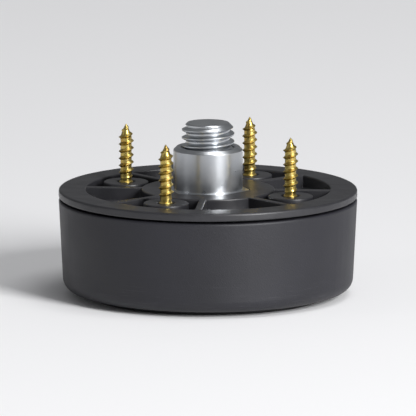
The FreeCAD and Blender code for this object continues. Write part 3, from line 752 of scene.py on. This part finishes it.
# %% [markdown]
# ## The M10 thread
#
# A thread is a groove that climbs one pitch in each turn.  The height of the groove's middle
# above or below a point, counted in pitches, is the point's own height minus the share of a turn
# it has gone.  The distance to the nearest groove then gives the radius: root in the middle,
# crest between grooves, and a 30 degree flank.  The same function serves the spindle and, with
# root and crest exchanged, the sleeve and the locking ring.

# %% Thread function
PITCH = 1.5
THREAD_RADIUS = 5.0
THREAD_DEPTH = 0.5413 * PITCH
THREAD_GAP = 0.06
HALF_ROOT = 0.175
FLANK = math.tan(math.radians(30))
SPINDLE_CREST = THREAD_RADIUS - THREAD_GAP
SPINDLE_ROOT = THREAD_RADIUS - THREAD_DEPTH - THREAD_GAP
SLEEVE_CREST = THREAD_RADIUS - THREAD_DEPTH + THREAD_GAP
SLEEVE_ROOT = THREAD_RADIUS + THREAD_GAP


def threaded(angles, height, middle, root, crest):
    """Radius of the thread: root + (crest - root) * how far the flank has climbed.

    The climb is eased a little at both ends, as rolling and plating round a real thread.
    """
    turns = (height - middle) / PITCH - angles / TAU
    distance = np.abs(turns - np.round(turns)) * PITCH
    climb = np.clip((distance - HALF_ROOT) / (abs(crest - root) * FLANK), 0, 1)
    eased = climb - 0.25 * np.sin(TAU * climb) / TAU
    return root + (crest - root) * eased


# %% [markdown]
# ## The spindle
#
# From the floor up the spindle has a journal with a groove for the clip, a collar that centres
# the cup, a hexagonal head, a neck where the thread runs out, and the M10 thread with a bevelled
# end.  It is one outline from pole to pole, with a hexagon and a thread as its radius.

# %% Spindle
JOURNAL = 3.0
JOURNAL_BEVEL = 0.27
COLLAR_LOW = WASHER_TOP + 0.1
CLIP_GROOVE = 2.5
CLIP_PLAY = 0.05
COLLAR = 4.0
NECK_RADIUS = 4.0
NECK_TOP = 14.1
RUN_OUT = 0.5
END_BEVEL = 1.0
HIDDEN_STEP = PITCH / 20
SHOWN_STEP = PITCH / 32
SPINDLE_COLUMNS = 120


def make_spindle():
    """Outline from pole to pole; the head's radius is hexagonal and the thread's is helical.

    The thread's radius is the smaller of the helix and a 45 degree bevel at the end.  The head's
    is the smaller of the hexagon and a 30 degree cone, which gives the curved edges of a turned
    hexagon.
    """
    lower = rounded([
        (0, SPINDLE_LOW, 0),
        (JOURNAL - JOURNAL_BEVEL, SPINDLE_LOW, 0.08),
        (JOURNAL, SPINDLE_LOW + JOURNAL_BEVEL, 0.08),
        (JOURNAL, CLIP_LOW - CLIP_PLAY, 0.06),
        (CLIP_GROOVE, CLIP_LOW - CLIP_PLAY, 0.06),
        (CLIP_GROOVE, CLIP_TOP + CLIP_PLAY, 0.06),
        (JOURNAL, CLIP_TOP + CLIP_PLAY, 0.06),
        (JOURNAL, COLLAR_LOW, 0.08),
        (COLLAR, COLLAR_LOW, 0.1),
        (COLLAR, HEAD_BOTTOM, 0.2),
        (HEAD_FLATS / 2, HEAD_BOTTOM, 0.15, 0.5),
        (HEAD_FLATS / 2, HEAD_TOP, 0.15, 0.35),
        (NECK_RADIUS, HEAD_TOP, 0.3),
        (NECK_RADIUS, NECK_TOP - 0.2, 0),
    ], longest=1, closed=False)
    hidden = np.arange(NECK_TOP, SPIGOT_TOP - 1, HIDDEN_STEP)
    shown = np.arange(SPIGOT_TOP - 1, SPINDLE_TOP, SHOWN_STEP)
    rise = np.concatenate([hidden, shown, [SPINDLE_TOP]])
    cap = (SPINDLE_CREST - END_BEVEL) * np.linspace(1, 0, 6)
    radius = np.concatenate([lower[:, 0], np.full(len(rise), SPINDLE_CREST), cap])
    height = np.concatenate([lower[:, 1], rise, np.full(len(cap), SPINDLE_TOP)])
    angles = even_angles(SPINDLE_COLUMNS)
    helix = threaded(angles, height[:, None], MOUNT_PLANE + PITCH / 2, SPINDLE_ROOT, SPINDLE_CREST)
    run_out = np.clip((height - NECK_TOP) / RUN_OUT, 0, 1)[:, None]
    helix = NECK_RADIUS + (helix - NECK_RADIUS) * run_out
    bevel = SPINDLE_CREST - END_BEVEL + (SPINDLE_TOP - height[:, None])
    row = np.arange(len(radius))[:, None]
    is_thread = (row >= len(lower)) & (row < len(lower) + len(rise))
    grid_radius = np.where(is_thread, np.minimum(helix, bevel), radius[:, None])
    on_head = (height > HEAD_BOTTOM - NEAR) & (height < HEAD_TOP + NEAR) & (radius > COLLAR)
    share = on_head * np.clip((radius - COLLAR) / (HEAD_FLATS / 2 - COLLAR), 0, 1)
    hexagonal = grid_radius + share[:, None] * (hexagon_radius(angles, HEAD_FLATS) - HEAD_FLATS / 2)
    cone = HEAD_FLATS / 2 - 0.2 + (HEAD_TOP - height[:, None]) / FLANK
    grid_radius = np.where(on_head[:, None], np.minimum(hexagonal, cone), grid_radius)
    return closed_mesh("spindle", lathe(grid_radius, height[:, None], angles), closed=False)


place_piece("spindle", make_spindle(), "levelling_spindle", ZINC)


# %% [markdown]
# ## The threaded sleeve and the locking ring
#
# The sleeve is the nut.  Its flange lies under the base and takes the load, its hexagon stops it
# from turning, and its spigot stands in the cabinet's bore.  The nylon ring sits in the sleeve's
# mouth, and its thread is the one that the spindle pressed into it.

# %% Sleeve and ring
FLANGE_THICKNESS = 1.5
SPIGOT_RADIUS = 6.5
SPIGOT_BEVEL = 0.6
THREAD_MOUTH = 0.15
SLEEVE_COLUMNS = 120
SLEEVE_ROWS = 200
RING_ROWS = 42


def with_threaded_bore(outside, rise):
    """An outline that runs on down a bore: radius, height, angles and a grid of radii.

    In the bore the radius is the thread's, or the bevel's of the sleeve's mouth where that is
    wider.
    """
    radius = np.append(outside[:, 0], np.full(len(rise), SLEEVE_CREST))
    height = np.append(outside[:, 1], rise)
    angles = even_angles(SLEEVE_COLUMNS)
    helix = threaded(angles, height[:, None], MOUNT_PLANE, SLEEVE_ROOT, SLEEVE_CREST)
    mouth = SLEEVE_ROOT + THREAD_MOUTH - (SPIGOT_TOP - height[:, None])
    in_bore = (np.arange(len(radius)) >= len(outside))[:, None]
    return radius, height, angles, np.where(in_bore, np.maximum(helix, mouth), radius[:, None])


def make_sleeve():
    """Outside up, inside down; the hexagon fades in from the flange and ends at the spigot."""
    flats = SLEEVE_FLATS / 2
    outside = rounded([
        (LOCKING_RADIUS, LOCKING_TOP, 0),
        (LOCKING_RADIUS, SLEEVE_LOW, 0.08),
        (SLEEVE_RADIUS, SLEEVE_LOW, 0.2),
        (SLEEVE_RADIUS, SLEEVE_LOW + FLANGE_THICKNESS, 0.2),
        (flats, SLEEVE_LOW + FLANGE_THICKNESS, 0.1),
        (flats, MOUNT_PLANE, 0.12),
        (SPIGOT_RADIUS, MOUNT_PLANE, 0.12),
        (SPIGOT_RADIUS, SPIGOT_TOP - SPIGOT_BEVEL, 0.15),
        (SPIGOT_RADIUS - SPIGOT_BEVEL, SPIGOT_TOP, 0.12),
        (SLEEVE_ROOT + THREAD_MOUTH, SPIGOT_TOP, 0),
    ], longest=1.5, closed=False)
    rise = np.linspace(SPIGOT_TOP - 0.1, LOCKING_TOP, SLEEVE_ROWS)
    radius, height, angles, grid_radius = with_threaded_bore(outside, rise)
    on_hexagon = (height > SLEEVE_LOW + FLANGE_THICKNESS - NEAR) & (height < MOUNT_PLANE + NEAR)
    on_hexagon &= (radius > SPIGOT_RADIUS + NEAR) & (np.arange(len(radius)) < len(outside))
    below = np.clip((SLEEVE_RADIUS - radius) / (SLEEVE_RADIUS - flats), 0, 1)
    above = np.clip((radius - SPIGOT_RADIUS) / (flats - SPIGOT_RADIUS), 0, 1)
    share = on_hexagon * np.minimum(below, above)
    grid_radius = grid_radius + share[:, None] * (hexagon_radius(angles, SLEEVE_FLATS) - flats)
    return closed_mesh("sleeve", lathe(grid_radius, height[:, None], angles))


def make_locking_ring():
    """Ring with a round outside and the spindle's thread inside."""
    outside = rounded([
        (SLEEVE_ROOT + THREAD_MOUTH, SLEEVE_LOW, 0),
        (LOCKING_RADIUS, SLEEVE_LOW, 0.15),
        (LOCKING_RADIUS, LOCKING_TOP, 0.15),
        (SLEEVE_ROOT + THREAD_MOUTH, LOCKING_TOP, 0),
    ], closed=False)
    rise = np.linspace(LOCKING_TOP, SLEEVE_LOW, RING_ROWS)
    _, height, angles, grid_radius = with_threaded_bore(outside, rise)
    return closed_mesh("locking_ring", lathe(grid_radius, height[:, None], angles))


place_piece("sleeve", make_sleeve(), "threaded_sleeve", ZINC)
place_piece("grip_ring", make_locking_ring(), "locking_ring", NATURAL_NYLON)


# %% [markdown]
# ## The chipboard screws
#
# A chipboard screw has a thin sharp ridge far apart, so that it grips fibres without splitting
# them, and the ridge runs on down the point.  The head has a cross recess.  The four screws are
# the same surface, each turned differently, as no two are driven home at the same angle.

# %% Screws
SCREW_CORE = 1.05
SCREW_CREST = 1.45
SCREW_SHANK = 1.3
SCREW_PITCH = 1.35
SCREW_TIP = 2.4
SCREW_COLUMNS = 60
SCREW_STEP = SCREW_PITCH / 26
POINT_SWELL = 0.8
RIDGE_HALF_WIDTH = 0.27 * SCREW_PITCH
RIDGE_HOLLOW = 1.3
RECESS_HALF_WIDTH = 0.38
RECESS_HALF_SPAN = 1.6
RECESS_DEPTH = 1.3
RECESS_EDGE = 0.12
SCREW_TURNS = np.radians([12, 77, 151, 38])


def make_screw(node, turned):
    """Pole to pole: recessed head, shank, ridged core and point, at the screw's own axis.

    Radius = the core's + the ridge's height where the helix passes.  On the head's face, height =
    the face's + the recess's depth where a point lies inside either arm of the cross.
    """
    face = np.array([(size, SCREW_LOW) for size in np.arange(0, SCREW_HEAD - 0.2, 0.1)])
    body = rounded([
        (SCREW_HEAD - 0.2, SCREW_LOW, 0),
        (SCREW_HEAD, SCREW_LOW, 0.08),
        (SCREW_HEAD, SCREW_LOW + SCREW_LAND, 0.08),
        (SCREW_SHANK, SCREW_LOW + SCREW_LAND + SCREW_HEAD - SCREW_SHANK, 0.2),
        (SCREW_SHANK, MOUNT_PLANE, 0.1),
        (SCREW_CORE, MOUNT_PLANE + 0.2, 0),
    ], longest=0.8, closed=False)
    rise = np.arange(MOUNT_PLANE + 0.3, SCREW_END, SCREW_STEP)
    point = np.clip((SCREW_END - rise) / SCREW_TIP, 0, 1)
    core = SCREW_CORE * point ** POINT_SWELL
    radius = np.concatenate([face[:, 0], body[:, 0], core, [0]])[:, None]
    height = np.concatenate([face[:, 1], body[:, 1], rise, [SCREW_END]])[:, None]
    angles = even_angles(SCREW_COLUMNS)
    turns = (height - MOUNT_PLANE) / SCREW_PITCH - angles / TAU
    distance = np.abs(turns - np.round(turns)) * SCREW_PITCH
    ridge = np.clip(1 - distance / RIDGE_HALF_WIDTH, 0, 1) ** RIDGE_HOLLOW
    starting = np.clip((height - MOUNT_PLANE - 0.5) / SCREW_PITCH, 0, 1)
    ending = np.clip((SCREW_END - 0.15 - height) / (0.8 * SCREW_TIP), 0, 1) ** 0.7
    radius = radius + ridge * starting * ending * (SCREW_CREST - SCREW_CORE)
    across, along = np.abs(radius * np.cos(angles)), np.abs(radius * np.sin(angles))
    one_arm = np.maximum(across - RECESS_HALF_WIDTH, along - RECESS_HALF_SPAN)
    other_arm = np.maximum(along - RECESS_HALF_WIDTH, across - RECESS_HALF_SPAN)
    depth = np.clip(0.5 - np.minimum(one_arm, other_arm) / RECESS_EDGE, 0, 1)
    on_face = np.arange(len(radius))[:, None] < len(face)
    shallower = np.clip(1.15 - radius / RECESS_HALF_SPAN, 0.35, 1)
    height = height + on_face * depth * RECESS_DEPTH * shallower
    grid = lathe(radius, height, angles + turned) + screw_axis(node)
    return closed_mesh(node, grid, closed=False)


for node, turned in zip(SCREWS, SCREW_TURNS):
    name = node.replace("mounting", "chipboard")
    place_piece(name, make_screw(node, turned), node, SCREW_STEEL)


# %% [markdown]
# ## The glide: plate, pad, washer
#
# The glide stands still on the floor while the cup turns above it.  The pad is let into the
# plate, and blind slots in its underside press dust aside and grip.  Their sides are straight, so
# the pad uses the same parallel columns as the ribs, with the offset turned downwards.

# %% Glide plate, pad and washer
CLIP_BORE = 6.6
SEAT_LIP = 0.7
JOURNAL_BORE = 3.1
PLATE_WEB = 1.2
PAD_SLOTS = 16
PAD_SLOT_DEPTH = 0.5
PAD_SLOT_MARGIN = 1.5
PAD_SLOT_HALF_WIDTH = 0.6
DISC_COLUMNS = 144
WASHER_COLUMNS = 96


def make_plate():
    """Disc with a seat for the pad below, a pocket for the clip and a bore for the journal."""
    ceiling = PLATE_TOP - PLATE_WEB
    outline = rounded([
        (JOURNAL_BORE, ceiling, 0.1),
        (CLIP_BORE, ceiling, 0.2),
        (CLIP_BORE, PLATE_LOW, 0.15),
        (CLIP_BORE + SEAT_LIP, PLATE_LOW, 0.15),
        (CLIP_BORE + SEAT_LIP, PAD_TOP, 0.15),
        (PLATE_RADIUS - SEAT_LIP, PAD_TOP, 0.15),
        (PLATE_RADIUS - SEAT_LIP, PLATE_LOW, 0.15),
        (PLATE_RADIUS, PLATE_LOW, 0.25),
        (PLATE_RADIUS, PLATE_TOP, 0.5),
        (JOURNAL_BORE, PLATE_TOP, 0.15),
    ])
    return closed_mesh("plate", lathe(*outline.T[..., None], even_angles(DISC_COLUMNS)))


def make_pad():
    """Ring with a rounded floor edge and blind radial slots underneath."""
    inside = CLIP_BORE + SEAT_LIP + 0.1
    outline = rounded([
        (inside, PAD_LOW, 0.25, 0.35),
        (PAD_RADIUS, PAD_LOW, 0.3),
        (PAD_RADIUS, PAD_TOP, 0.1),
        (inside, PAD_TOP, 0.1),
    ])
    radius, height = outline.T
    section = rib_section(PAD_SLOT_HALF_WIDTH, PAD_SLOT_DEPTH, 0.12)
    angles, sunk = spoke_grid(radius, PAD_SLOTS, 0.0, section, 6)
    ends = np.minimum(radius - inside - PAD_SLOT_MARGIN, PAD_RADIUS - PAD_SLOT_MARGIN - radius)
    under = (height < PAD_LOW + 0.05) * np.clip(0.5 + ends / 0.35, 0, 1) * PAD_SLOT_DEPTH
    height = height[:, None] + under[:, None] * sunk
    return closed_mesh("pad", lathe(radius[:, None], height, angles))


def make_washer():
    """Flat washer with edges broken by the stamping tool."""
    outline = rounded([
        (JOURNAL_BORE, PLATE_TOP, 0.08),
        (HUB_RADIUS, PLATE_TOP, 0.08),
        (HUB_RADIUS, WASHER_TOP, 0.2),
        (JOURNAL_BORE, WASHER_TOP, 0.2),
    ])
    return closed_mesh("washer", lathe(*outline.T[..., None], even_angles(WASHER_COLUMNS)))


place_piece("plate", make_plate(), "glide_plate", BLACK_MOULDED)
place_piece("pad", make_pad(), "glide_pad", ELASTOMER)
place_piece("washer", make_washer(), "thrust_washer", NATURAL_ACETAL)


# %% [markdown]
# ## The push-in ring
#
# The ring over the spindle's head is stamped from spring strip.  Slots on its inner edge leave
# fingers, which give as it is pushed home.  A slot's sides are parallel, so its columns are
# placed as a rib's are, but at the radius that they have after the cut.

# %% Retaining ring
RETAINER_BORE = 5.4
RETAINER_SLOTS = 8
RETAINER_SLOT_WIDTH = 0.8
RETAINER_SLOT_DEPTH = 1.5


def make_retainer():
    """Ring whose inner edge steps outwards by the slot's depth at each slot.

    The step is the depth times the column's share of the slot, fading to nothing at the rim.
    """
    outline = rounded([
        (RETAINER_BORE, HEAD_TOP, 0.06),
        (RETAINER_RADIUS, HEAD_TOP, 0.06),
        (RETAINER_RADIUS, RETAINER_TOP, 0.15),
        (RETAINER_BORE, RETAINER_TOP, 0.15),
    ], longest=0.8)
    radius, height = outline.T
    fade = np.clip((RETAINER_RADIUS - radius) / (RETAINER_RADIUS - RETAINER_BORE), 0, 1)
    outward = RETAINER_SLOT_DEPTH * fade
    section = rib_section(RETAINER_SLOT_WIDTH / 2, RETAINER_SLOT_DEPTH, 0.1)
    angles, opened = spoke_grid(radius, RETAINER_SLOTS, 0.0, section, 7, outward)
    radius = radius[:, None] + outward[:, None] * opened
    return closed_mesh("retainer", lathe(radius, height[:, None], angles))


place_piece("push_ring", make_retainer(), "spindle_retainer", SPRING_STEEL)


# %% [markdown]
# ## The clip
#
# The clip holds the glide on the journal.  It is open on one side, so it snaps on sideways, and
# it touches the journal with three lands, with a round relief on either side of the middle one.
# Its section, a rectangle with soft edges, is carried from one end of the clip to the other.

# %% Clip
CLIP_MOUTH = 2.15
CLIP_EDGE_SHARE = 0.12
CLIP_STEPS = 150
CLIP_RELIEF = 1.3
CLIP_RELIEF_ANGLE = math.radians(125)


def clip_inside(angles):
    """Inner radius: the groove's, or the far side of a relief circle centred on the groove.

    A ray at the angle d from the relief's centre leaves its circle at
    c cos d + sqrt(k^2 - c^2 sin^2 d), for a centre at radius c and a relief of radius k.
    """
    radius = np.full_like(angles, CLIP_GROOVE)
    for middle in (CLIP_RELIEF_ANGLE, TAU - CLIP_RELIEF_ANGLE):
        off = angles - middle
        under = CLIP_RELIEF ** 2 - (CLIP_GROOVE * np.sin(off)) ** 2
        far = CLIP_GROOVE * np.cos(off) + np.sqrt(np.maximum(under, 0))
        radius = np.where(under > 0, np.maximum(radius, far), radius)
    return radius


def make_clip():
    """A soft-edged rectangle carried round the clip, drawn to a point at both ends."""
    share = np.linspace(0, 1, CLIP_STEPS)[:, None]
    first_inside = math.asin(CLIP_MOUTH / CLIP_GROOVE)
    first_outside = math.asin(CLIP_MOUTH / CLIP_RADIUS)
    inside_angle = first_inside + (TAU - 2 * first_inside) * share
    outside_angle = first_outside + (TAU - 2 * first_outside) * share
    unit = [(0, 0), (1, 0), (1, 1), (0, 1)]
    section = rounded([(*corner, CLIP_EDGE_SHARE) for corner in unit], arc_steps=3)
    across, up = section.T
    inner = clip_inside(inside_angle)
    inner_point = lathe(inner, 0, inside_angle)[..., :2]
    outer_point = lathe(CLIP_RADIUS, 0, outside_angle)[..., :2]
    flat = inner_point + (outer_point - inner_point) * across[:, None]
    height = np.broadcast_to(CLIP_LOW + (CLIP_TOP - CLIP_LOW) * up, flat.shape[:2])
    grid = np.concatenate([flat, height[..., None]], axis=-1)
    first_cap = np.broadcast_to(grid[0].mean(axis=0), grid[:1].shape)
    last_cap = np.broadcast_to(grid[-1].mean(axis=0), grid[:1].shape)
    return closed_mesh("clip", np.concatenate([first_cap, grid, last_cap]), closed=False)


place_piece("clip", make_clip(), "glide_clip", SPRING_STEEL)


# %% [markdown]
# ## The floor
#
# A plain pale floor carries the soft shadow that shows where the foot stands.  It reaches far
# past every view, so that no edge of it is seen.

# %% Floor
FLOOR_REACH = 6.0


def make_floor():
    """A pale matte floor that reaches past every view."""
    material, tree, place = new_material("pale_floor")
    tone = add(tree, "TexNoise", {"Vector": place, "Scale": 3.0, "Detail": 2.0})
    colour = add(tree, "Mix", {"Factor": tone, "A": "#ececee", "B": "#f1f1f2"}, **COLOURS)
    shader = add(tree, "BsdfPrincipled", {"Base Color": colour, "Roughness": 0.7})
    add(tree, "OutputMaterial", {"Surface": shader})
    mesh = bpy.data.meshes.new("floor")
    corners = [(-1, -1, 0), (1, -1, 0), (1, 1, 0), (-1, 1, 0)]
    mesh.from_pydata(FLOOR_REACH * np.array(corners), [], [(0, 1, 2, 3)])
    mesh.materials.append(material)
    link("floor", mesh)


make_floor()


# %% [markdown]
# ## The camera
#
# A long lens from far away, a little to the left and ten degrees up, keeps the sides of the foot
# nearly parallel, as in a catalogue picture.

# %% Camera
VIEW_AZIMUTH = math.radians(-18)
VIEW_ELEVATION = math.radians(10)
CAMERA_DISTANCE = 2.4
SENSOR = 36.0
FIELD_WIDTH = 0.078


def direction(azimuth, elevation):
    """Unit vector from the object to a place on the sky; azimuth 0 is in front, at -Y."""
    level = math.cos(elevation)
    return Vector((math.sin(azimuth) * level, -math.cos(azimuth) * level, math.sin(elevation)))


def aim(thing, place, target):
    """Put a light or camera at a place, facing a target."""
    thing.location = place
    thing.rotation_euler = (target - place).to_track_quat("-Z", "Y").to_euler()


centre = (cad_low + cad_high) / 2
lens = bpy.data.cameras.new("camera")
lens.sensor_width = SENSOR
lens.lens = SENSOR * CAMERA_DISTANCE / FIELD_WIDTH
lens.clip_start = 0.01
camera = link("camera", lens)
aim(camera, centre + CAMERA_DISTANCE * direction(VIEW_AZIMUTH, VIEW_ELEVATION), centre)
bpy.context.scene.camera = camera


# %% [markdown]
# ## The lights
#
# A dark satin part needs a broad soft light to draw its form.  One large key stands to the front
# right, so that the cup brightens right of its middle and falls away to the left.  A large box
# overhead keeps the floor pale, and a narrow dim fill draws the dark side's edge.

# %% Lights
def softbox(name, azimuth, elevation, distance, size, power):
    """A white area light that faces the object; azimuth is in degrees from the camera's."""
    light = bpy.data.lights.new(name, "AREA")
    light.shape = "RECTANGLE"
    light.size, light.size_y = size
    light.energy = power
    way = direction(VIEW_AZIMUTH + math.radians(azimuth), math.radians(elevation))
    aim(link(name, light), centre + distance * way, centre)


softbox("key", 40, 24, 1.6, (0.44, 0.72), 36.0)
softbox("top", 60, 72, 2.2, (1.2, 1.2), 16.0)
softbox("fill", -75, 14, 1.8, (0.16, 1.0), 1.6)

world = bpy.data.worlds.new("studio")
world.use_nodes = True
background = world.node_tree.nodes["Background"]
background.inputs["Color"].default_value = paint("#f4f5f7")
background.inputs["Strength"].default_value = 0.22
bpy.context.scene.world = world
bpy.context.scene.view_settings.view_transform = "Standard"
